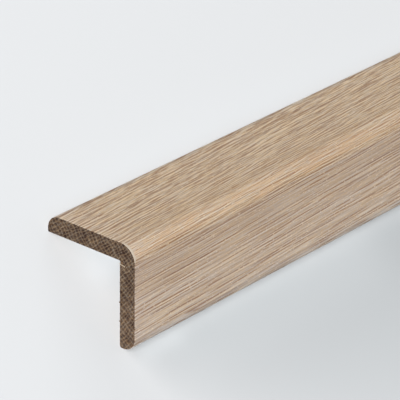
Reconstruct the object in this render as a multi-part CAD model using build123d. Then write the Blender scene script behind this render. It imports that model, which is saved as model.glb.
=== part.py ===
"""Oak stair lipping: one length of solid angle moulding that covers the edge of a stair tread.

Two equal legs meet at a right angle. The tread leg lies on top of the step and the riser leg hangs down
its front. The length is stored as it comes to rest on a level floor: ridge up, on the inner arrises of
both leg tips. X runs along the length, and the origin is on the floor, under the ridge, at mid length.
"""

from build123d import *
import math
import os

# Driving dimensions of the moulding, in millimetres
LEG_WIDTH = 35.0
THICKNESS = 6.0
LENGTH = 1000.0
CORNER_RADIUS = 5.5  # the round over the step's edge, which feet and hands meet
TIP_RADIUS = 4.6  # the round that brings each leg down to the step's surface
INNER_ARRIS_RADIUS = 0.4  # the eased edge that each leg tip presses against the step

# Height of the sharp outer corner above the floor, while the moulding rests on its two inner arrises
ARRIS_CENTRE_SUM = (LEG_WIDTH - INNER_ARRIS_RADIUS) + (THICKNESS - INNER_ARRIS_RADIUS)
CORNER_HEIGHT = ARRIS_CENTRE_SUM / math.sqrt(2) + INNER_ARRIS_RADIUS

# The section is drawn as it sits on a step, with its outer corner at (0, 0). Its first axis follows the
# tread leg and its second the riser leg, and at rest both of them fall away from the ridge at 45 degrees.
SECTION_PLANE = Plane(
    origin=(0, 0, CORNER_HEIGHT),
    x_dir=(0, 1, -1),
    z_dir=(-1, 0, 0),
)


def lipping_section():
    """The L of the moulding: square inside, with a rounded corner and rounded leg tips outside."""
    outer_corner = (0, 0)
    tread_tip_outer = (LEG_WIDTH, 0)
    tread_tip_inner = (LEG_WIDTH, THICKNESS)
    inner_corner = (THICKNESS, THICKNESS)
    riser_tip_inner = (THICKNESS, LEG_WIDTH)
    riser_tip_outer = (0, LEG_WIDTH)

    with BuildSketch() as section:
        with BuildLine():
            Polyline(
                outer_corner,
                tread_tip_outer,
                tread_tip_inner,
                inner_corner,
                riser_tip_inner,
                riser_tip_outer,
                close=True,
            )
        make_face()
        round_over(section, [outer_corner], CORNER_RADIUS)
        round_over(section, [tread_tip_outer, riser_tip_outer], TIP_RADIUS)
        round_over(section, [tread_tip_inner, riser_tip_inner], INNER_ARRIS_RADIUS)
    return section.sketch


def round_over(section, points, radius):
    """Rounds the section's corners at the given points."""
    corners = [section.vertices().sort_by_distance(point)[0] for point in points]
    fillet(corners, radius=radius)


def stair_lipping():
    """The section run through the planer to a full length, sawn square at both ends."""
    return extrude(SECTION_PLANE * lipping_section(), amount=LENGTH / 2, both=True)


def build():
    """Writes the moulding's one solid."""
    os.makedirs("parts", exist_ok=True)
    moulding = stair_lipping()
    moulding.label = "stair_lipping"
    export_step(moulding, "parts/stair_lipping.step")

    box = moulding.bounding_box()
    print(f"section area {moulding.volume / LENGTH:.2f} mm2, volume {moulding.volume:.0f} mm3")
    print(f"box from {tuple(round(v, 3) for v in box.min)} to {tuple(round(v, 3) for v in box.max)}")


build()
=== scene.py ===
# %% [markdown]
# Oak stair lipping, modelled from one photograph. It is a single length of solid oak angle moulding, so
# the lesson has one piece in it, and most of its cells are about wood: how a planed face, a sawn end and
# the rings, pores and rays inside the timber are made to agree with each other. The plain shape was drawn
# before as a solid, for making and measuring. It is loaded first and is the ruler for everything below.

# %% Load the moulding's fixed frame
import math

import bmesh
import bpy
from mathutils import Matrix, Vector


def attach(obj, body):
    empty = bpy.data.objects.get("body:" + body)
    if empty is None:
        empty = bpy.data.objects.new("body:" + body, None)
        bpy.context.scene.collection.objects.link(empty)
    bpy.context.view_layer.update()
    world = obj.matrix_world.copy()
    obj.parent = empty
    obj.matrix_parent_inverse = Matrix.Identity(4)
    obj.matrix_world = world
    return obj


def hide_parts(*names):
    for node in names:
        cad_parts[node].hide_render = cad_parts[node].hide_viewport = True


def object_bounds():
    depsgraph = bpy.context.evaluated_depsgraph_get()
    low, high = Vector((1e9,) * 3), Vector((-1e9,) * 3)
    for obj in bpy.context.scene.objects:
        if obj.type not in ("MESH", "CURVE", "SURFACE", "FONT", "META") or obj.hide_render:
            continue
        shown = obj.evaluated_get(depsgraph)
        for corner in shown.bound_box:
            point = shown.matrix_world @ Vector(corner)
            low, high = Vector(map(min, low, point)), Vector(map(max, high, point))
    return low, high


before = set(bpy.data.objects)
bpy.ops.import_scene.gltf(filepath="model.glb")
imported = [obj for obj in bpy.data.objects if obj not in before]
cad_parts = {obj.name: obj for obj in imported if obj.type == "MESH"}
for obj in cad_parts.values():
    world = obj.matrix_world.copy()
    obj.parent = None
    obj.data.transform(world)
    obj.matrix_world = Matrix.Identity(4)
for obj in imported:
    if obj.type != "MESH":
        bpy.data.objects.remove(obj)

cad_low, cad_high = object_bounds()
print("the solid reaches from", [round(v, 4) for v in cad_low], "to", [round(v, 4) for v in cad_high])

# %% [markdown]
# The photograph shows the moulding as it sits on a step, with the tread leg level and the riser leg
# hanging down. Left alone on a floor it tips over by 45 degrees and lies on both leg tips with its ridge
# up, and that is how it is stored. Both positions share the same length axis, so anything worked out on
# the step is brought here by one turn about X.

# %% The sizes of the moulding and its two positions
MM = 0.001
LEG_WIDTH = 35 * MM
THICKNESS = 6 * MM
CORNER_RADIUS = 5.5 * MM
TIP_RADIUS = 4.6 * MM
ARRIS_RADIUS = 0.4 * MM
FOOT_ARRIS_RADIUS = 0.85 * MM
NEAR_END = cad_low.x
FAR_END = cad_high.x
LENGTH = FAR_END - NEAR_END

arris_centres = (LEG_WIDTH - ARRIS_RADIUS) + (THICKNESS - ARRIS_RADIUS)
CORNER_HEIGHT = arris_centres / math.sqrt(2) + ARRIS_RADIUS
STEP_TO_REST = Matrix.Translation((0, 0, CORNER_HEIGHT)) @ Matrix.Rotation(math.radians(-45), 4, "X")
print("the sharp outer corner would be", round(CORNER_HEIGHT / MM, 2), "mm above the floor")

# %% [markdown]
# A camera can be found again from a photograph when the object in it has known right angles. Here the
# outline of the L and the edges that run off along the length gave the focal length, the direction and
# the distance. The numbers are kept as a photographer would say them: how far the camera looks down, how
# far it looks across the length, its small roll, and the pixel where one known corner falls.

# %% Describe the camera
IMAGE_SIDE = 400  # pixels
FOCAL_LENGTH = 2956  # pixels, a long lens
CORNER_PIXEL = Vector((134.5, 248.0))  # the sharp outer corner of the near end
CORNER_DEPTH = 863.4 * MM
LOOKS_DOWN = math.radians(25.73)
LOOKS_ACROSS = math.radians(40.35)  # from the length towards the tread leg's tip
ROLL = math.radians(0.75)

camera_data = bpy.data.cameras.new("camera")
camera_data.sensor_width = 36
camera_data.lens = FOCAL_LENGTH / IMAGE_SIDE * camera_data.sensor_width
camera_data.clip_end = 100
camera = bpy.data.objects.new("camera", camera_data)
bpy.context.collection.objects.link(camera)
bpy.context.scene.camera = camera
print("the lens is", round(camera_data.lens), "mm long on a sensor of 36 mm")

# %% [markdown]
# With those numbers the camera's place follows. Its direction is worked out on the step and turned with the
# moulding onto the floor. Then the camera is moved back along the line through the known pixel, until the
# corner is at the right distance. Worked out like this, picture and object stay together if a size changes.

# %% Put it where the photograph was taken
forward = Vector((
    math.cos(LOOKS_DOWN) * math.cos(LOOKS_ACROSS),
    math.cos(LOOKS_DOWN) * math.sin(LOOKS_ACROSS),
    -math.sin(LOOKS_DOWN),
))
on_step = forward.to_track_quat("-Z", "Y").to_matrix().to_4x4() @ Matrix.Rotation(ROLL, 4, "Z")
turned = STEP_TO_REST.to_3x3().to_4x4() @ on_step
from_centre = (CORNER_PIXEL - Vector((IMAGE_SIDE - 1, IMAGE_SIDE - 1)) / 2) / FOCAL_LENGTH
corner_seen = Vector((from_centre.x, -from_centre.y, -1)) * CORNER_DEPTH
corner = Vector((NEAR_END, 0, CORNER_HEIGHT))
camera.matrix_world = Matrix.Translation(corner - turned.to_3x3() @ corner_seen) @ turned
print("the camera stands at", [round(v, 3) for v in camera.matrix_world.translation])

# %% [markdown]
# A plain pale floor and soft light leave all the attention on the wood. The floor is much larger than the
# moulding, so that no view from the side meets its edge. Its paint is a middle grey, because the lights
# below are strong enough to lift it to the near white of the photograph.

# %% Lay the floor
FLOOR_SIDE = 60
FLOOR_GREY = (0.371, 0.389, 0.400, 1)

bpy.ops.object.select_all(action="DESELECT")
bpy.ops.mesh.primitive_plane_add(size=FLOOR_SIDE)
floor = bpy.context.active_object
floor.name = "floor"

paint = bpy.data.materials.new("pale_floor")
paint.use_nodes = True
shader = paint.node_tree.nodes["Principled BSDF"]
shader.inputs["Base Color"].default_value = FLOOR_GREY
shader.inputs["Roughness"].default_value = 0.9
shader.inputs["Specular IOR Level"].default_value = 0.2
floor.data.materials.append(paint)
print("the floor is", FLOOR_SIDE, "m wide")

# %% [markdown]
# Nothing in the photograph has a hard shadow or a glint, so the wood was lit by one broad, soft source.
# How bright each face is depends on how squarely it looks at that source, and three faces are in view: the
# top and the riser side are about equally bright and the sawn end is darker. That gave the direction of
# the key light. It stands 10 m away, so that the far end of a moulding 1 m long gets nearly as much of it
# as the near end. A dim world lights what the key leaves dark. The Standard view transform keeps colours
# as they are worked out, which a pale product photograph needs.

# %% Light the wood softly
WORLD_COLOUR = (0.97, 0.985, 1.0, 1)
WORLD_STRENGTH = 0.4
KEY_DISTANCE = 10
KEY_SIDE = 4.0
KEY_POWER = 1048  # watts

bpy.context.scene.view_settings.view_transform = "Standard"
world = bpy.data.worlds.new("studio")
bpy.context.scene.world = world
world.use_nodes = True
world.node_tree.nodes["Background"].inputs["Color"].default_value = WORLD_COLOUR
world.node_tree.nodes["Background"].inputs["Strength"].default_value = WORLD_STRENGTH


def softbox(name, direction, distance, width, height, power, colour=(1, 1, 1)):
    """An area light that looks at the moulding's near end from the given direction."""
    data = bpy.data.lights.new(name, "AREA")
    data.shape = "RECTANGLE"
    data.size = width
    data.size_y = height
    data.energy = power
    data.color = colour
    light = bpy.data.objects.new(name, data)
    bpy.context.collection.objects.link(light)
    towards = Vector(direction).normalized()
    light.location = corner + towards * distance
    light.rotation_euler = (-towards).to_track_quat("-Z", "Y").to_euler()
    light.visible_camera = False
    return light


key = softbox("key", (-0.77, 0.0, 0.64), KEY_DISTANCE, KEY_SIDE, KEY_SIDE, KEY_POWER)
print("the key light stands at", [round(v, 2) for v in key.location])

# %% [markdown]
# The backdrop is nearly white at the left and falls to a pale grey at the right, behind the moulding's
# long and very soft shadow. Light linking lets a light fall on chosen objects only, so three more lights
# fall on the floor alone and the backdrop can be tuned without touching the wood. The side light is low
# and very wide, and draws the soft shadow. The fill would draw a second one, so the moulding is left out
# of the list of things that block it.

# %% Light the floor alone
FAR_OFF = 5  # metres from the near end
SIDE_COLOUR = (1.0, 0.91, 0.885)

fill = softbox("floor_fill", (-0.95, -0.05, 0.33), FAR_OFF, 2.0, 2.0, 285)
side = softbox("floor_side", (-0.77, 0.63, 0.14), FAR_OFF, 7.0, 0.8, 1500, SIDE_COLOUR)
back = softbox("floor_back", (0.47, 0.81, 0.34), FAR_OFF, 3.0, 2.0, 90)
floor_only = bpy.data.collections.new("lit_by_the_floor_lights")
floor_only.objects.link(floor)
for light in (fill, side, back):
    light.light_linking.receiver_collection = floor_only
fill.light_linking.blocker_collection = floor_only
print("lights for the floor alone:", [light.name for light in (fill, side, back)])

# %% [markdown]
# In the photograph the floor inside the hollow of the L and beside its legs is almost as bright as the
# open floor, where a real object on a real floor would leave a dark seam. Flat lamps close above the floor
# do the same here. They look straight down, light only the floor, and are themselves hidden from the
# camera. A slightly blue colour makes up for the warm light that the oak throws into the hollow. The last
# lamp is turned, so that it follows the line where the camera sees the tread leg's edge against the floor.

# %% Brighten the floor beside the legs
COOL = (0.83, 0.95, 1.06)
PLAIN = (1, 1, 1)
WHOLE_LENGTH = LENGTH / MM
LAMPS = (  # name, where it starts behind the near end, across, up, its length and width in mm, watts, colour
    ("hollow_lamp", 2, 2, 14, WHOLE_LENGTH, 36, 0.067, COOL),
    ("tread_lamp", 5, 11, 4, WHOLE_LENGTH, 22, 0.0252, COOL),
    ("foot_lamp", 4, -23, 4, WHOLE_LENGTH, 4, 0.0135, PLAIN),
    ("front_lamp", 16, -29, 11, 100, 22, 0.0022, PLAIN),
    ("corner_lamp", 6, -26, 3.5, 18, 4, 0.0001, PLAIN),
)


def lamp_over_floor(name, place, length, width, power, colour=PLAIN, turn=0):
    """A flat lamp that looks straight down on the floor and lights nothing else."""
    light = softbox(name, (0, 0, 1), 0, length, width, power, colour)
    light.location = place
    light.rotation_euler = (0, 0, turn)
    light.light_linking.receiver_collection = floor_only
    light.light_linking.blocker_collection = floor_only


for name, start, sideways, up, length, width, power, colour in LAMPS:
    centre = (NEAR_END + (start + length / 2) * MM, sideways * MM, up * MM)
    lamp_over_floor(name, centre, length * MM, width * MM, power, colour)
under_edge = (NEAR_END + 9.6 * MM, 12.7 * MM, 2 * MM)
lamp_over_floor("edge_lamp", under_edge, 27 * MM, 4 * MM, 0.00019, turn=math.radians(-45))

# %% [markdown]
# In section the moulding is an L with two equal legs of one thickness. The tread leg lies on the step and
# the riser leg covers its edge. By hand this is three moves: a box as large as the tread leg, a cut along
# it at the thickness of the riser leg, and the narrow strip under that cut pulled down. It is modelled as
# it sits on the step, because there both legs lie along an axis and all numbers stay simple.

# %% Build the plain angle
def pick(obj, kind, wanted):
    """In edit mode, selects only the faces, edges or vertices that pass the test."""
    bpy.ops.mesh.select_mode(type=kind)
    bpy.ops.mesh.select_all(action="DESELECT")
    mesh = bmesh.from_edit_mesh(obj.data)
    items = {"VERT": mesh.verts, "EDGE": mesh.edges, "FACE": mesh.faces}[kind]
    for item in items:
        item.select = wanted(item)
    mesh.select_flush_mode()
    bmesh.update_edit_mesh(obj.data)


def under_corner(face):
    """Whether a face is the strip that the riser leg grows from."""
    return face.normal.z < -0.9 and face.calc_center_median().y < THICKNESS


middle = (NEAR_END + FAR_END) / 2
bpy.ops.object.select_all(action="DESELECT")
bpy.ops.mesh.primitive_cube_add(
    size=1, location=(middle, LEG_WIDTH / 2, -THICKNESS / 2), scale=(LENGTH, LEG_WIDTH, THICKNESS)
)
moulding = bpy.context.active_object
moulding.name = "oak_moulding"
bpy.ops.object.transform_apply(location=True, rotation=True, scale=True)
bpy.ops.object.mode_set(mode="EDIT")
bpy.ops.mesh.select_all(action="SELECT")
bpy.ops.mesh.bisect(plane_co=(0, THICKNESS, 0), plane_no=(0, 1, 0))
pick(moulding, "FACE", under_corner)
bpy.ops.mesh.extrude_region_move(TRANSFORM_OT_translate={"value": (0, 0, THICKNESS - LEG_WIDTH)})
bpy.ops.object.mode_set(mode="OBJECT")
print("the plain angle has", len(moulding.data.polygons), "faces")

# %% [markdown]
# A stair edge is trodden on, so the machine that planed this moulding rounded its outer corner and both
# tips. Rounds this large are best as real geometry, because they shape the outline and catch the light.
# The two lower edges are only eased, the foot's a little more than the tread's. A bevel needs its edges
# selected first, and each is found here by its place in the section.

# %% Round the long edges
def runs_along(edge, y, z):
    """Whether an edge runs the whole length at that place in the section."""
    start, end = (v.co for v in edge.verts)
    lengthways = abs(start.x - end.x) > LENGTH / 2
    return lengthways and math.hypot(start.y - y, start.z - z) < 0.1 * MM


def round_edges(places, radius, segments):
    """Rounds the long edges at those places in the section."""
    pick(moulding, "EDGE", lambda edge: any(runs_along(edge, y, z) for y, z in places))
    bpy.ops.mesh.bevel(offset=radius, segments=segments, profile=0.5, affect="EDGES", clamp_overlap=False)


bpy.ops.object.mode_set(mode="EDIT")
round_edges([(0, 0)], CORNER_RADIUS, 14)
round_edges([(LEG_WIDTH, 0), (0, -LEG_WIDTH)], TIP_RADIUS, 12)
round_edges([(LEG_WIDTH, -THICKNESS)], ARRIS_RADIUS, 3)
round_edges([(THICKNESS, -LEG_WIDTH)], FOOT_ARRIS_RADIUS, 5)
bpy.ops.object.mode_set(mode="OBJECT")
print("the rounded moulding has", len(moulding.data.polygons), "faces")

# %% [markdown]
# A saw leaves an edge that looks sharp but isn't quite. Without a last tiny bevel round both ends, the
# dark end and the pale faces would meet in a line with no width, which no real edge has. After all the
# bevels, doubled vertices are merged and the normals are made to look outwards.

# %% Ease the rim of both ends
END_ARRIS = 0.06 * MM


def rims_an_end(edge):
    """Whether an edge lies in the rim between an end and the long faces."""
    flat = [abs(face.normal.x) > 0.9 for face in edge.link_faces]
    return len(flat) == 2 and flat[0] != flat[1]


bpy.ops.object.mode_set(mode="EDIT")
pick(moulding, "EDGE", rims_an_end)
bpy.ops.mesh.bevel(offset=END_ARRIS, segments=1, affect="EDGES", clamp_overlap=True)
bpy.ops.mesh.select_all(action="SELECT")
bpy.ops.mesh.remove_doubles(threshold=0.001 * MM)
bpy.ops.mesh.normals_make_consistent(inside=False)
bpy.ops.object.mode_set(mode="OBJECT")
print("with its ends eased it has", len(moulding.data.polygons), "faces")

# %% [markdown]
# A material is a tree of small nodes. Written out one node at a time, such a tree is long and hard to
# read, so a few helpers come first. Each adds one node, joins what it is given to the node's inputs, and
# hands back the output, so that a pattern reads almost like arithmetic.

# %% Helpers that add one node each
def join(tree, socket, value):
    """Gives an input its value, by a link from another node or as a plain number."""
    if isinstance(value, bpy.types.NodeSocket):
        tree.links.new(value, socket)
    else:
        socket.default_value = value


def calc(tree, operation, *values):
    """One Math node."""
    node = tree.nodes.new("ShaderNodeMath")
    node.operation = operation
    for socket, value in zip(node.inputs, values):
        join(tree, socket, value)
    return node.outputs[0]


def vector_calc(tree, operation, *values, output="Vector"):
    """One Vector Math node. Each value is a triple of numbers or the output of another node."""
    node = tree.nodes.new("ShaderNodeVectorMath")
    node.operation = operation
    for socket, value in zip(node.inputs, values):
        join(tree, socket, value)
    return node.outputs[output]


def scaled(tree, vector, amount):
    """A vector made longer or shorter."""
    node = tree.nodes.new("ShaderNodeVectorMath")
    node.operation = "SCALE"
    join(tree, node.inputs[0], vector)
    join(tree, node.inputs["Scale"], amount)
    return node.outputs[0]


def split(tree, vector):
    """The three parts of a vector, by name."""
    node = tree.nodes.new("ShaderNodeSeparateXYZ")
    tree.links.new(vector, node.inputs[0])
    return node.outputs


# %% [markdown]
# Four more helpers do what wood needs most. A smooth step picks out the high or the low parts of a pattern.
# A blend lays one colour over another by a share. A ramp turns a number into a pale, a middle or a dark
# colour. And a group holds a pattern that several materials use.

# %% Helpers for steps, colours and groups
def rise(tree, value, low, high, start=0.0, end=1.0):
    """A smooth step of a value: start below low, end above high."""
    node = tree.nodes.new("ShaderNodeMapRange")
    node.interpolation_type = "SMOOTHSTEP"
    for socket, number in zip(node.inputs, (value, low, high, start, end)):
        join(tree, socket, number)
    return node.outputs[0]


def blend(tree, share, first, second, mode="MIX"):
    """Two colours mixed by a share from 0 to 1."""
    node = tree.nodes.new("ShaderNodeMix")
    node.data_type = "RGBA"
    node.blend_type = mode
    wanted = {"Factor_Float": share, "A_Color": first, "B_Color": second}
    for socket in node.inputs:
        if socket.identifier in wanted:
            join(tree, socket, wanted[socket.identifier])
    return next(socket for socket in node.outputs if socket.identifier == "Result_Color")


def ramp(tree, value, light, middle_colour, dark):
    """A colour from a value: light up to 0.1, the middle colour at one half, dark from 0.9."""
    node = tree.nodes.new("ShaderNodeValToRGB")
    tree.links.new(value, node.inputs[0])
    stops = node.color_ramp.elements
    stops[0].position = 0.1
    stops[0].color = light
    stops[1].position = 0.9
    stops[1].color = dark
    stops.new(0.5).color = middle_colour
    return node.outputs[0]


def new_group(name, inputs, outputs):
    """An empty node group with number sockets. Inputs come with their usual values."""
    group = bpy.data.node_groups.new(name, "ShaderNodeTree")
    for title, value in inputs.items():
        socket = group.interface.new_socket(title, in_out="INPUT", socket_type="NodeSocketFloat")
        socket.default_value = value
    for title in outputs:
        group.interface.new_socket(title, in_out="OUTPUT", socket_type="NodeSocketFloat")
    return group, group.nodes.new("NodeGroupInput").outputs, group.nodes.new("NodeGroupOutput").inputs


# %% [markdown]
# Wood isn't a picture stuck on a surface. Its pattern goes right through: rings run round the pith, rays
# run out from it, and pores run along it. So one group works the pattern out from the place of each point
# inside the timber, and all of the moulding's materials share it. A streak on a planed face then meets
# the same streak on the sawn end, as it does in a real piece.
#
# The group has one input, for how much the grain waves. The sawn end's lines are straighter than the
# planed faces show, and a splinter or a chip can use the usual amount.

# %% Start the group for the timber
STREAKS = (  # name, seed, size and step between neighbours: along the length, round the pith, out from it
    ("Ray Streaks", 90.0, (26, 0.38, 0.8), (0, 0.4, 0)),
    ("Wide Streaks", 30.0, (14, 0.34, 1.4), (0, 0.36, 0)),
    ("Broad Streaks", 70.0, (10, 0.52, 1.6), (0, 0.52, 0)),
    ("Ring Streaks", 110.0, (19, 0.9, 0.34), (0, 0, 0.15)),
    ("Fibre", 150.0, (4, 0.3, 0.9), (0, 0.32, 0)),
)
BLOTS = (  # name, seed and size
    ("Pores", (20.0, 20.0, 20.0), (26, 0.34, 0.85)),
    ("Pale Lines", (20.0, 20.3, 19.7), (26, 0.34, 0.85)),
    ("Bands", (130.0, 130.0, 130.0), (40, 2.4, 2.4)),
    ("Patches", (250.0, 250.0, 250.0), (9, 0.9, 0.9)),
    ("Flecks", (170.0, 170.0, 170.0), (0.9, 0.3, 0.3)),
)
OTHERS = ["Rays", "Rings", "Long Warmth", "Short Warmth"]

names = [row[0] for row in STREAKS + BLOTS] + OTHERS
timber, given, gives = new_group("oak_timber", {"Waviness": 1.0}, names)
print("the timber group gives", len(names), "patterns")

# %% [markdown]
# Every point first gets its place in the tree, in millimetres: how far along, how far round the pith, and
# how far out from it. Where the pith was is read off the sawn end, where rays and rings cross: outside the
# L, beyond its rounded corner. The grain isn't quite parallel to the edges, so the pith leans a little
# along the length, and two slow noises bend the grain as growth did.

# %% Find each point's place in the tree
PITH_Y = -4.0
PITH_Z = 104.0
MEAN_RADIUS = 88.0
GRAIN_DRIFT = (0.0, 0.031, 0.004)
SLOW_BENDS = ((45, 14, 14), 0.8)  # how long and wide they are, and by how much they push
QUICK_BENDS = ((10, 2.5, 2.5), 0.25)


def noise(tree, place, size, detail=0.0, output="Fac"):
    """Soft noise whose blots are about as long as the size says, along each axis."""
    node = tree.nodes.new("ShaderNodeTexNoise")
    tree.links.new(vector_calc(tree, "DIVIDE", place, size), node.inputs["Vector"])
    node.inputs["Scale"].default_value = 1.0
    node.inputs["Detail"].default_value = detail
    return node.outputs[output]


def wander(tree, place, size, amount):
    """A slow push to either side, by up to about half the amount."""
    push = vector_calc(tree, "SUBTRACT", noise(tree, place, size, output="Color"), (0.5, 0.5, 0.5))
    return vector_calc(tree, "MULTIPLY", push, (0, amount, amount))


coordinates = timber.nodes.new("ShaderNodeTexCoord").outputs["Object"]
place = vector_calc(timber, "SUBTRACT", scaled(timber, coordinates, 1 / MM), (NEAR_END / MM, 0, 0))
along = split(timber, place)["X"]
to_the_top = rise(timber, split(timber, place)["Y"], -3.0, 4.0, 0.2, 1.0)
curl = calc(timber, "MULTIPLY", given["Waviness"], to_the_top)
slow = wander(timber, place, *SLOW_BENDS)
quick = wander(timber, place, *QUICK_BENDS)
bend = vector_calc(timber, "ADD", slow, quick)
waved = vector_calc(timber, "ADD", place, scaled(timber, bend, curl))
straight = vector_calc(timber, "SUBTRACT", waved, scaled(timber, GRAIN_DRIFT, along))
in_section = vector_calc(timber, "MULTIPLY", straight, (0, 1, 1))
from_pith = vector_calc(timber, "SUBTRACT", in_section, (0, PITH_Y, PITH_Z))
sides = split(timber, from_pith)
radius = vector_calc(timber, "LENGTH", from_pith, output="Value")
angle = calc(timber, "ARCTAN2", sides["Y"], calc(timber, "MULTIPLY", sides["Z"], -1.0))
around = calc(timber, "MULTIPLY", angle, MEAN_RADIUS)
combine = timber.nodes.new("ShaderNodeCombineXYZ")
for socket, value in zip(combine.inputs, (along, around, radius)):
    timber.links.new(value, socket)
tree_place = combine.outputs[0]
print("the pith is", round(math.hypot(PITH_Y, PITH_Z - CORNER_HEIGHT / MM)), "mm from the outer corner")

# %% [markdown]
# Oak's lines are narrow and long, with even wood between them. Plain noise swells and sinks slowly, and
# squeezing it only gives soft stripes side by side. Taking the mean of two neighbours away from each value
# cancels the slow swell and leaves only the narrow streaks. Five kinds are made, because faces cut along
# the rays, across them or flat to the rings show streaks of different widths. Each kind has a seed, which
# moves it to another part of the noise, so that no two look alike.

# %% Make the streaks and blots
def shifted(tree, place, amount):
    """The same place moved along, so that a second noise differs from the first."""
    return vector_calc(tree, "ADD", place, amount)


def streaks(tree, place, size, step):
    """How far a noise stands above its two neighbours, about one half."""
    before = noise(tree, vector_calc(tree, "ADD", place, step), size)
    after = noise(tree, vector_calc(tree, "SUBTRACT", place, step), size)
    here = calc(tree, "ADD", noise(tree, place, size), 0.5)
    return calc(tree, "MULTIPLY_ADD", calc(tree, "ADD", before, after), -0.5, here)


for name, seed, size, step in STREAKS:
    moved = shifted(timber, tree_place, (seed, seed, seed))
    timber.links.new(streaks(timber, moved, size, step), gives[name])
for name, seed, size in BLOTS:
    detail = 1.0 if name == "Bands" else 0.0
    timber.links.new(noise(timber, shifted(timber, tree_place, seed), size, detail), gives[name])
print("streaks:", [row[0] for row in STREAKS], "blots:", [row[0] for row in BLOTS])

# %% [markdown]
# Rays and rings come at nearly even steps, so each is a wave along one direction of the tree, and a noise
# makes its lines wander. Colour also changes without any line, from honey to grey. Long and short strips
# of that warmth are made separately, because the riser side shows long ones and the top short ones.

# %% Make the rays, rings and warmth
RAY_SPACING = 1.0
RING_WIDTH = 1.45


def wave(tree, value, spacing, sway, amount):
    """Goes from 0 at each multiple of the spacing to 1 halfway between, with lines that sway a little."""
    moved = calc(tree, "MULTIPLY_ADD", calc(tree, "SUBTRACT", sway, 0.5), amount, value)
    return calc(tree, "MULTIPLY", calc(tree, "PINGPONG", calc(tree, "DIVIDE", moved, spacing), 0.5), 2.0)


def warmth_strips(seed, length):
    """Soft strips of colour of that length, with a fine grain in them."""
    strips = noise(timber, shifted(timber, tree_place, (seed, seed, seed)), (length, 0.35, 0.8))
    return calc(timber, "SUBTRACT", calc(timber, "ADD", strips, fine), 0.5)


fine = noise(timber, shifted(timber, tree_place, (230.0, 230.0, 230.0)), (1.5, 0.3, 0.5))
ray_sway = noise(timber, tree_place, (30, 1.8, 3.5))
ring_sway = noise(timber, shifted(timber, tree_place, (50.0, 50.0, 50.0)), (40, 3.5, 2.4))
timber.links.new(wave(timber, around, RAY_SPACING, ray_sway, 1.1), gives["Rays"])
timber.links.new(wave(timber, radius, RING_WIDTH, ring_sway, 1.6), gives["Rings"])
timber.links.new(warmth_strips(210.0, 24), gives["Long Warmth"])
timber.links.new(warmth_strips(240.0, 9), gives["Short Warmth"])
print("the timber group has", len(timber.nodes), "nodes")

# %% [markdown]
# Every material of the moulding starts the same way, with the timber group beside its shader. Colours come
# from a depth, a number about one half that says how dark the wood is at a point. Patterns are added to it
# one after another, each with a gain, and a ramp turns the sum into a colour. That's easier to tune than
# layers of mixed colours, because every gain can be read as the contrast of one pattern.

# %% Helpers for the wood materials
def new_material(name, roughness, specular, waviness=1.0):
    """A material with the timber group in it, and its shader."""
    material = bpy.data.materials.new(name)
    material.use_nodes = True
    tree = material.node_tree
    pattern = tree.nodes.new("ShaderNodeGroup")
    pattern.node_tree = timber
    pattern.inputs["Waviness"].default_value = waviness
    shader = tree.nodes["Principled BSDF"]
    shader.inputs["Roughness"].default_value = roughness
    shader.inputs["Specular IOR Level"].default_value = specular
    return material, tree, pattern.outputs, shader


def add_pattern(tree, value, gain, sum_so_far):
    """Adds a pattern, turned to swing about nothing, to the sum so far."""
    return calc(tree, "MULTIPLY_ADD", calc(tree, "SUBTRACT", value, 0.5), gain, sum_so_far)


def place_on_object(tree):
    """The place in metres: X along the length, and Y across, from the riser's side to the tread's."""
    return split(tree, tree.nodes.new("ShaderNodeTexCoord").outputs["Object"])


# %% [markdown]
# The planed faces are cut through the tree at different angles, so they differ. The riser side shows fine
# and long rays, the top shows wider streaks, and on the rounded ridge, where the cut runs nearly flat to
# the rings, the streaks are broadest. As it lies, the ridge is at Y = 0, the tread leg is on the plus side
# and the riser leg on the minus side, so one number across tells the faces apart. Each pattern has a gain
# for the front, the top and the round, and the three are blended across.

# %% Planed oak: how dark the wood is
PLANED_GAINS = (  # pattern, then its gain on the riser side, on the top and on the round
    ("Ray Streaks", 0.5, 0.0, 0.1),
    ("Wide Streaks", 0.0, 1.30, 0.35),
    ("Broad Streaks", 0.0, 0.0, 0.72),
    ("Ring Streaks", 0.3, 0.3, 0.3),
    ("Fibre", 0.2, 0.95, 0.8),
    ("Bands", 0.2, 0.0, 0.3),
    ("Rays", -0.2, -0.1, -0.1),
    ("Rings", -0.1, -0.1, -0.1),
)

oak, tree, pattern, shader = new_material("planed_oak", 0.6, 0.35)
planed_place = place_on_object(tree)
lengthways = planed_place["X"]
across = planed_place["Y"]
either_side = calc(tree, "ABSOLUTE", across)
tread_side = rise(tree, across, -2.0 * MM, 2.0 * MM)
on_round = rise(tree, either_side, 5.0 * MM, 3.2 * MM)
depth = 0.5
for name, on_front, on_top, on_ridge in PLANED_GAINS:
    gain = calc(tree, "MULTIPLY_ADD", tread_side, on_top - on_front, on_front)
    extra = calc(tree, "MULTIPLY", on_round, calc(tree, "SUBTRACT", on_ridge, gain))
    depth = add_pattern(tree, pattern[name], calc(tree, "ADD", gain, extra), depth)
print("the planed faces add up", len(PLANED_GAINS), "patterns")

# %% [markdown]
# Two ramps turn the depth into colours, one for the flats and a paler and more orange one for the ridge.
# Its paleness is a painted highlight along the round. The ridge wood has warm patches of its own. Its
# border wanders a little, as a border in real wood would.

# %% Planed oak: its colours
PALE = (0.70, 0.555, 0.39, 1)
TAN = (0.512, 0.370, 0.243, 1)
BROWN = (0.331, 0.195, 0.112, 1)
# The ridge ramp is paler than the flats by a painted highlight along the round.
RIDGE_PALE_HIGHLIT = (0.765, 0.64, 0.49, 1)
RIDGE_TAN_HIGHLIT = (0.563, 0.425, 0.299, 1)
RIDGE_BROWN = (0.37, 0.180, 0.082, 1)
RIDGE_PEACH = (0.605, 0.398, 0.24, 1)

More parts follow.
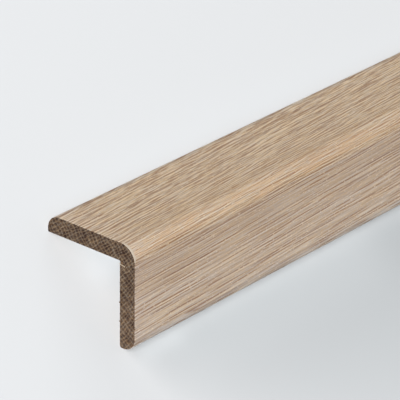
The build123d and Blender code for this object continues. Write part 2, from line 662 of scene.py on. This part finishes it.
wandering = add_pattern(tree, pattern["Patches"], 3.0 * MM, across)
front_border = rise(tree, wandering, -2.5 * MM, -1.4 * MM)
ridge_and_highlight = calc(tree, "MULTIPLY", front_border, rise(tree, wandering, 3.4 * MM, 1.6 * MM))
peach = rise(tree, pattern["Patches"], 0.45, 0.62, 0.0, 0.5)
ridge_colour_and_highlight = blend(tree, peach, ramp(tree, depth, RIDGE_PALE_HIGHLIT, RIDGE_TAN_HIGHLIT, RIDGE_BROWN), RIDGE_PEACH)
colour = blend(tree, ridge_and_highlight, ramp(tree, depth, PALE, TAN, BROWN), ridge_colour_and_highlight)
print("planed oak has", len(tree.nodes), "nodes so far")

# %% [markdown]
# Oak's pores are cut open by planing. Each shows as a short dark line, often with a pale rim where its
# wall catches the light, and here and there a single cell shines as a pale fleck. Only the highest parts
# of a noise are used for each, which keeps them apart and rare. The rims use the pores' own noise, moved
# 0.3 mm round the pith and as much away from it.

# %% Planed oak: pores, rims and flecks
PORE = (0.262, 0.118, 0.052, 1)
FLECK = (0.80, 0.64, 0.45, 1)

open_pores = rise(tree, pattern["Pores"], 0.60, 0.68)
pore_share = calc(tree, "MULTIPLY_ADD", tread_side, -0.55, 0.65)
colour = blend(tree, calc(tree, "MULTIPLY", open_pores, pore_share), colour, PORE)
colour = blend(tree, rise(tree, pattern["Pale Lines"], 0.58, 0.70, 0.0, 0.5), colour, PALE)
colour = blend(tree, rise(tree, pattern["Flecks"], 0.70, 0.77, 0.0, 0.6), colour, FLECK)
print("with its pores it has", len(tree.nodes), "nodes")

# %% [markdown]
# Measured along one face after another, the photograph's oak drifts in colour: greyer on the riser side,
# paler towards its foot and palest near the floor, which is painted light, a little deeper beside the ridge,
# darker and greyer on the rounded tips, which is painted shade where the rounds turn away from the light,
# and paler over about the last centimetre, where the wood dries first. Each drift is a share of a tint that
# multiplies the colour, so that it leaves the pattern alone.

# %% Planed oak: drifts of colour
WARM = (1.04, 1, 0.92, 1)
GREY = (0.96, 1, 1.08, 1)

shorter = calc(tree, "SUBTRACT", pattern["Short Warmth"], pattern["Long Warmth"])
hue = calc(tree, "MULTIPLY_ADD", tread_side, shorter, pattern["Long Warmth"])
colour = blend(tree, 1.0, colour, blend(tree, rise(tree, hue, 0.2, 0.8), GREY, WARM), "MULTIPLY")

on_tips = rise(tree, either_side, 21.0 * MM, 22.0 * MM)
from_end = calc(tree, "SUBTRACT", FAR_END, calc(tree, "ABSOLUTE", lengthways))
off_ridge = rise(tree, across, 2.4 * MM, 3.4 * MM)
beside_ridge = calc(tree, "MULTIPLY", off_ridge, rise(tree, across, 9 * MM, 5 * MM))
DRIFTS = (
    (rise(tree, across, -2.6 * MM, -3.9 * MM), (0.965, 0.99, 1.08, 1)),  # the riser side
    # painted light: paler towards the foot and palest near the floor
    (rise(tree, across, -7 * MM, -16 * MM), (1.10, 1.125, 1.15, 1)),  # paler to its foot
    (rise(tree, across, -18 * MM, -22 * MM), (1.03, 1.06, 1.09, 1)),  # palest near the floor
    (tread_side, (0.968, 0.968, 0.968, 1)),
    (beside_ridge, (0.955, 0.94, 0.92, 1)),
    # painted shade: darker and greyer on the rounded tips
    (on_tips, (0.90, 0.91, 0.95, 1)),
    (rise(tree, from_end, 14 * MM, 0), (1.03, 1.04, 1.08, 1)),  # the dry end
)
for share, tint in DRIFTS:
    colour = blend(tree, share, colour, tint, "MULTIPLY")
print("the colour drifts in", len(DRIFTS), "places")

# %% [markdown]
# A saw that comes out through a planed face tears it a little. Along the rounded corner the photograph has
# a pale, ragged fringe of lifted fibres, under a millimetre wide, with parts of one elsewhere. Its paleness
# is partly the torn fibres and partly a painted highlight along the end's edge. Between them dark teeth
# reach in where a streak of open pores broke away. The fringe is a step in the distance from the end, and
# how far it reaches varies with the flecks, which gives it its ragged edge.

# %% Planed oak: where the saw tore it, with a painted highlight
FRINGE_AND_HIGHLIGHT = (0.61, 0.51, 0.405, 1)
TOOTH = (0.17, 0.095, 0.052, 1)

on_corner = rise(tree, either_side, 4.3 * MM, 2.4 * MM)
reach = calc(tree, "MULTIPLY_ADD", on_corner, 0.65 * MM, -0.15 * MM)
reach = calc(tree, "MULTIPLY_ADD", pattern["Flecks"], 0.65 * MM, reach)
torn = rise(tree, calc(tree, "SUBTRACT", from_end, reach), 0.12 * MM, -0.12 * MM)
in_patches = rise(tree, pattern["Patches"], 0.46, 0.56, 0.0, 0.8)
elsewhere = calc(tree, "MULTIPLY", in_patches, calc(tree, "SUBTRACT", 1.0, on_tips))
fringe_and_highlight = calc(tree, "MULTIPLY", torn, calc(tree, "MAXIMUM", on_corner, elsewhere))
colour = blend(tree, fringe_and_highlight, colour, FRINGE_AND_HIGHLIGHT)

at_the_rim = rise(tree, from_end, 0.40 * MM, 0.10 * MM)
dark_streaks = rise(tree, depth, 0.50, 0.62, 0.0, 0.85)
off_corner = calc(tree, "SUBTRACT", 1.0, on_corner)
teeth = calc(tree, "MULTIPLY", calc(tree, "MULTIPLY", at_the_rim, dark_streaks), off_corner)
colour = blend(tree, teeth, colour, TOOTH)
tree.links.new(colour, shader.inputs["Base Color"])
print("planed oak now has", len(tree.nodes), "nodes")

# %% [markdown]
# The planed faces have no gloss. They are bare or have only a matt finish, so the wood is dull, and duller
# still inside a pore. The pores are real grooves, though far too fine to model. A bump makes the light fall
# on them as if they were cut in: its height is 0 on the surface and -1 in a pore, and its distance says how
# deep that is.

# %% Planed oak: its sheen and its grooves
PORE_DEPTH = 0.06 * MM
WOOD_ROUGHNESS = 0.56
PORE_ROUGHNESS = 0.75

roughness = rise(tree, pattern["Pores"], 0.56, 0.68, WOOD_ROUGHNESS, PORE_ROUGHNESS)
tree.links.new(roughness, shader.inputs["Roughness"])
bump = tree.nodes.new("ShaderNodeBump")
bump.inputs["Distance"].default_value = PORE_DEPTH
tree.links.new(rise(tree, pattern["Pores"], 0.6, 0.78, 0.0, -1.0), bump.inputs["Height"])
tree.links.new(bump.outputs[0], shader.inputs["Normal"])
moulding.data.materials.append(oak)
print("the pores are", PORE_DEPTH / MM, "mm deep")

# %% [markdown]
# The sawn end looks down the pores, and light that goes into them doesn't come back, so end grain is much
# darker than a planed face. Here rays and rings cross each other and leave small cells between them. The
# lines are paler than the cells, but they fade in and out, so each is let through only where a streak pattern
# is high. The grain waves less on an end than along the length, and its contrast falls a little down the
# riser leg, where each depth is drawn towards the mean one.

# %% The sawn end: how dark it is
END_GAINS = (("Rays", 0.08), ("Rings", 0.08), ("Wide Streaks", 0.30), ("Flecks", 0.28), ("Bands", 0.75))
WOOD_DEPTH = 0.53
CELL_GAIN = 0.20
LINE_GAIN = -0.24
MEAN_DEPTH = 0.56
RISER_CONTRAST = 0.80

sawn, tree, pattern, shader = new_material("sawn_end", 0.85, 0.2, waviness=0.5)
in_cells = rise(tree, calc(tree, "MULTIPLY", pattern["Rays"], pattern["Rings"]), 0.05, 0.5)
ray_line = rise(tree, pattern["Rays"], 0.40, 0.0)
ray_line = calc(tree, "MULTIPLY", ray_line, rise(tree, pattern["Ring Streaks"], 0.42, 0.58))
ring_line = rise(tree, pattern["Rings"], 0.30, 0.0)
ring_line = calc(tree, "MULTIPLY", ring_line, rise(tree, pattern["Ray Streaks"], 0.42, 0.58))
depth = calc(tree, "MULTIPLY_ADD", in_cells, CELL_GAIN, WOOD_DEPTH)
depth = calc(tree, "MULTIPLY_ADD", calc(tree, "MAXIMUM", ray_line, ring_line), LINE_GAIN, depth)
for name, gain in END_GAINS:
    depth = add_pattern(tree, pattern[name], gain, depth)
across = place_on_object(tree)["Y"]
contrast = rise(tree, across, -3 * MM, -12 * MM, 1.0, RISER_CONTRAST)
depth = calc(tree, "MULTIPLY_ADD", calc(tree, "SUBTRACT", depth, MEAN_DEPTH), contrast, MEAN_DEPTH)
print("the sawn end adds up cells, lines and", len(END_GAINS), "patterns")

# %% [markdown]
# Its colours run from a dull tan to almost black, warmer in some strips than in others and a little paler
# at the foot. They are darker than end grain alone would be: part of that is painted shade, because the key
# light falls more squarely on the end than on the planed faces. Rare pale specks are cut fibres that stand
# up and catch the light. A saw leaves a rougher face than a plane, so the sheen is lower and a slight bump
# covers all of it.

# %% The sawn end: its colours and roughness
END_LIGHT = (0.205, 0.154, 0.102, 1)
END_MIDDLE = (0.097, 0.062, 0.039, 1)
END_DARK = (0.023, 0.0095, 0.0056, 1)
END_SPECK = (0.40, 0.34, 0.27, 1)
END_WARM = (1.09, 1, 0.85, 1)
END_GREY = (0.91, 1, 1.15, 1)
FOOT_TINT = (1.175, 1.18, 1.20, 1)
SAW_DEPTH = 0.03 * MM
SAW_STRENGTH = 0.4

colour = ramp(tree, depth, END_LIGHT, END_MIDDLE, END_DARK)
strips = rise(tree, pattern["Short Warmth"], 0.2, 0.8)
colour = blend(tree, 1.0, colour, blend(tree, strips, END_GREY, END_WARM), "MULTIPLY")
to_foot = rise(tree, across, -8 * MM, -15 * MM)
colour = blend(tree, to_foot, colour, FOOT_TINT, "MULTIPLY")
colour = blend(tree, rise(tree, pattern["Flecks"], 0.80, 0.85, 0.0, 0.7), colour, END_SPECK)
tree.links.new(colour, shader.inputs["Base Color"])
bump = tree.nodes.new("ShaderNodeBump")
bump.inputs["Strength"].default_value = SAW_STRENGTH
bump.inputs["Distance"].default_value = SAW_DEPTH
tree.links.new(pattern["Flecks"], bump.inputs["Height"])
tree.links.new(bump.outputs[0], shader.inputs["Normal"])
moulding.data.materials.append(sawn)
for polygon in moulding.data.polygons:
    polygon.material_index = 1 if abs(polygon.normal.x) > 0.9 else 0
print("materials on the moulding:", [material.name for material in moulding.data.materials])

# %% [markdown]
# Freshly torn wood is neither planed nor sawn. Inside a chip it is a dull brown with pale flecks, and a
# splinter that stands clear of the end is nearly as pale as the planed faces. Both take their flecks from
# the timber group, so they belong to the same piece of oak. The dull brown is also painted shade, inside
# the chip and in the groove under the splinter.

# %% Torn oak, whose brown is also painted shade
TORN_BROWN_AND_SHADE = (0.080, 0.044, 0.022, 1)
TORN_TAN = (0.17, 0.100, 0.054, 1)
SPLINTER_PALE = (0.46, 0.385, 0.29, 1)

torn_oak_and_shade, tree, pattern, shader = new_material("torn_oak_and_shade", 0.8, 0.2)
fleck = rise(tree, pattern["Flecks"], 0.35, 0.65)
tree.links.new(blend(tree, fleck, TORN_BROWN_AND_SHADE, TORN_TAN), shader.inputs["Base Color"])
splinter_oak, tree, pattern, shader = new_material("splinter_oak", 0.7, 0.2)
fleck = rise(tree, pattern["Flecks"], 0.5, 0.7, 0.0, 0.5)
tree.links.new(blend(tree, fleck, SPLINTER_PALE, TORN_TAN), shader.inputs["Base Color"])
print("torn wood has the materials", torn_oak_and_shade.name, "and", splinter_oak.name)

# %% [markdown]
# In the photograph the saw broke a crumb out of the inner corner of the near end, and tore a groove from
# there down the riser leg. A boolean cut with a simple round shape is the quickest honest way to make such
# damage: a flattened ball for the crumb and a thin rod for the groove. The cutters carry the torn oak, whose
# dark brown is also painted shade, and the cut hands that material over to the walls that it leaves.

# %% Chip the inner corner of the near end
CHIP_PLACE = (0, 5.45, 6.55)  # behind, over and down, as end_point takes them
CHIP_SIZE = (0.40 * MM, 0.75 * MM, 0.62 * MM)


def cut_away(name, add, **shape):
    """Cuts a primitive out of the moulding. The walls of the cut get the torn oak, whose brown is also
    painted shade.
    """
    bpy.ops.object.select_all(action="DESELECT")
    add(**shape)
    cutter = bpy.context.active_object
    cutter.data.materials.append(torn_oak_and_shade)
    cut = moulding.modifiers.new(name, "BOOLEAN")
    cut.operation = "DIFFERENCE"
    cut.material_mode = "TRANSFER"
    cut.object = cutter
    bpy.ops.object.select_all(action="DESELECT")
    moulding.select_set(True)
    bpy.context.view_layer.objects.active = moulding
    bpy.ops.object.modifier_apply(modifier=name)
    bpy.data.objects.remove(cutter)
    print("after the", name, "the moulding has", len(moulding.data.polygons), "faces")


def end_point(behind, over, down):
    """A place at the near end, in millimetres: behind its face, over from the riser face, and down."""
    return Vector((NEAR_END + behind * MM, over * MM, -down * MM))


cut_away("chip", bpy.ops.mesh.primitive_uv_sphere_add, segments=16, ring_count=10, radius=1,
         location=end_point(*CHIP_PLACE), scale=CHIP_SIZE)

# %% [markdown]
# The groove is where the pale splinter came loose, so both are placed by the same two points. About half of
# the rod that cuts it lies outside the sawn face, which leaves a trench nearly as deep as the rod's radius.

# %% Tear the groove below the chip
SPLINTER_FOOT = end_point(0.12, 4.05, 7.50)
SPLINTER_TIP = end_point(0.12, 6.35, 7.06)
GROOVE_RADIUS = 0.30 * MM
ROD_OVERRUN = 0.2 * MM
ROD_SHIFT = Vector((-0.15 * MM, 0, 0))  # out of the sawn face

along_groove = SPLINTER_TIP - SPLINTER_FOOT
cut_away("groove", bpy.ops.mesh.primitive_cylinder_add, vertices=12, radius=GROOVE_RADIUS,
         depth=along_groove.length + ROD_OVERRUN, location=(SPLINTER_FOOT + SPLINTER_TIP) / 2 + ROD_SHIFT,
         rotation=along_groove.to_track_quat("Z", "Y").to_euler())

# %% [markdown]
# One pale splinter lies in that groove and sticks out past the corner, and small tufts of fibre hang from
# the inner edge of the riser leg. At this size a tuft is a few pixels, and a slim six-sided cone with its
# foot sunk into the wood gives the right ragged outline. They are joined to the moulding, because they are
# the same piece of wood.

# %% Raise the torn fibres
TUFTS = (  # where the tuft starts, over and down, where it ends, over and down, and how thick it is
    (5.75, 20.0, 6.45, 20.10, 0.38),
    (5.80, 26.3, 6.40, 26.35, 0.26),
    (5.80, 13.2, 6.15, 13.25, 0.16),
    (5.80, 16.4, 6.12, 16.35, 0.14),
    (5.80, 9.6, 6.12, 9.70, 0.14),
    (5.80, 23.8, 6.12, 23.75, 0.13),
    (5.80, 30.2, 6.12, 30.30, 0.15),
)
SPLINTER_THICKNESS = 0.16


def raise_fibre(name, start, end, thickness, material):
    """A slim cone from one place to another."""
    bpy.ops.object.select_all(action="DESELECT")
    bpy.ops.mesh.primitive_cone_add(
        vertices=6, radius1=thickness * MM, radius2=thickness * 0.6 * MM, depth=(end - start).length,
        location=(start + end) / 2, rotation=(end - start).to_track_quat("Z", "Y").to_euler(),
    )
    fibre = bpy.context.active_object
    fibre.name = name
    fibre.data.materials.append(material)
    return fibre


fibres = [raise_fibre("splinter", SPLINTER_FOOT, SPLINTER_TIP, SPLINTER_THICKNESS, splinter_oak)]
for k, (over, down, tip_over, tip_down, thickness) in enumerate(TUFTS):
    start = end_point(thickness, over, down)
    end = end_point(thickness, tip_over, tip_down)
    fibres.append(raise_fibre("tuft_" + str(k + 1), start, end, thickness, torn_oak_and_shade))
fibre_count = len(fibres)
bpy.ops.object.select_all(action="DESELECT")
for piece in fibres + [moulding]:
    piece.select_set(True)
bpy.context.view_layer.objects.active = moulding
bpy.ops.object.join()
print("joined", fibre_count, "torn fibres to the moulding")

# %% [markdown]
# The renders read the pattern from the place of each point and need no unwrapping. Viewers on the web and
# game engines show a flat picture of the finish instead, and an automatic unwrap would spend most of that
# picture badly on a piece this long and thin. So the moulding's faces are unrolled one by one. Its length
# runs across the whole picture, the outside of the L lies in the lower half, the inside above it, and the two
# sawn ends and the torn places fill the rows that are left. Distances round the L come from the two legs
# themselves. Past the middle of a leg the strip follows the rounded tip, and before it the rounded corner.

# %% Say where each face goes in the picture
OUTSIDE_ROWS = (0.005, 0.520)  # lowest and highest row, as shares of the picture
INSIDE_ROWS = (0.530, 0.830)
TREAD_END_ROWS = (0.840, 0.912)
RISER_END_ROWS = (0.922, 0.994)
END_LEFTS = (0.005, 0.505)  # where the near and the far end start, as shares of its width
END_WIDTH = 0.485  # the share of the picture's width that one sawn leg takes


def between(rows, share):
    """The row at that share of the way up a strip."""
    return rows[0] + (rows[1] - rows[0]) * share


def along_outside(over, down):
    """The way round the outside from the corner: positive over the tread leg, negative down the riser leg."""
    if over > LEG_WIDTH / 2:
        return over + down
    if down > LEG_WIDTH / 2:
        return -over - down
    return over - down


def place_on_long_faces(point, is_inside):
    """Where a point of the outside or the inside goes in the picture."""
    over, down = point.y, -point.z
    if is_inside:
        reach = LEG_WIDTH - THICKNESS + 2 * FOOT_ARRIS_RADIUS
        row = between(INSIDE_ROWS, 0.5 + (over - down) / reach / 2)
    else:
        reach = LEG_WIDTH + THICKNESS
        row = between(OUTSIDE_ROWS, 0.5 + along_outside(over, down) / reach / 2)
    return (point.x - NEAR_END) / LENGTH, row


def place_on_end(point, is_riser):
    """Where a point of a sawn end goes in the picture."""
    over, down = point.y, -point.z
    left = END_LEFTS[0] if point.x < 0 else END_LEFTS[1]
    if is_riser:
        return left + END_WIDTH * down / LEG_WIDTH, between(RISER_END_ROWS, over / THICKNESS)
    return left + END_WIDTH * over / LEG_WIDTH, between(TREAD_END_ROWS, down / THICKNESS)


print("the sawn ends take", round(TREAD_END_ROWS[1] - TREAD_END_ROWS[0], 3), "of the picture's height each")

# %% [markdown]
# Now the picture's map is filled in, face by face. A face is told by its material and by where it looks. The
# torn places are small and crooked, so a smart projection unwraps them, and they share one small square.

# %% Unroll the moulding
TORN_CORNER = (0.010, 0.925)
TORN_SIDE = 0.065


def faces_inside(centre, normal):
    """Whether a long face looks into the hollow of the L, as the rounded arrises beside it do too."""
    on_tread = centre.y > -centre.z
    return normal.z < -0.1 if on_tread else normal.y > 0.1


moulding.data.uv_layers[0].name = "OFBake"
bpy.ops.object.mode_set(mode="EDIT")
pick(moulding, "FACE", lambda face: face.material_index >= 2)
bpy.ops.uv.smart_project(island_margin=0.02)
mesh = bmesh.from_edit_mesh(moulding.data)
picture = mesh.loops.layers.uv["OFBake"]
for face in mesh.faces:
    centre = face.calc_center_median()
    for loop in face.loops:
        point = loop.vert.co
        if face.material_index >= 2:
            spot = [start + TORN_SIDE * part for start, part in zip(TORN_CORNER, loop[picture].uv)]
        elif face.material_index == 1:
            spot = place_on_end(point, -centre.z > THICKNESS)
        else:
            spot = place_on_long_faces(point, faces_inside(centre, face.normal))
        loop[picture].uv = spot
bmesh.update_edit_mesh(moulding.data)
bpy.ops.object.mode_set(mode="OBJECT")
spots = [loop.uv for loop in moulding.data.uv_layers["OFBake"].data]
print("the picture is filled from", [round(min(spot[k] for spot in spots), 3) for k in (0, 1)],
      "to", [round(max(spot[k] for spot in spots), 3) for k in (0, 1)])

# %% [markdown]
# Now the moulding is turned from the step onto the floor. The mesh itself is turned and the object stays
# at the origin, unturned, so that it shares the solid's frame exactly. Faces that meet at less than 35
# degrees are shaded smooth, which rounds the corner and the tips and leaves the ends crisp. The two last
# lines hide the piece of the solid that it stands for, and say what it moves with.

# %% Lay the moulding on the floor
SMOOTH_BELOW = math.radians(35)

moulding.data.transform(STEP_TO_REST)
bpy.ops.object.select_all(action="DESELECT")
moulding.select_set(True)
bpy.ops.object.shade_smooth_by_angle(angle=SMOOTH_BELOW)
print("the moulding has", len(moulding.data.polygons), "faces and", len(moulding.data.materials), "materials")

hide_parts("stair_lipping")
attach(moulding, "root")
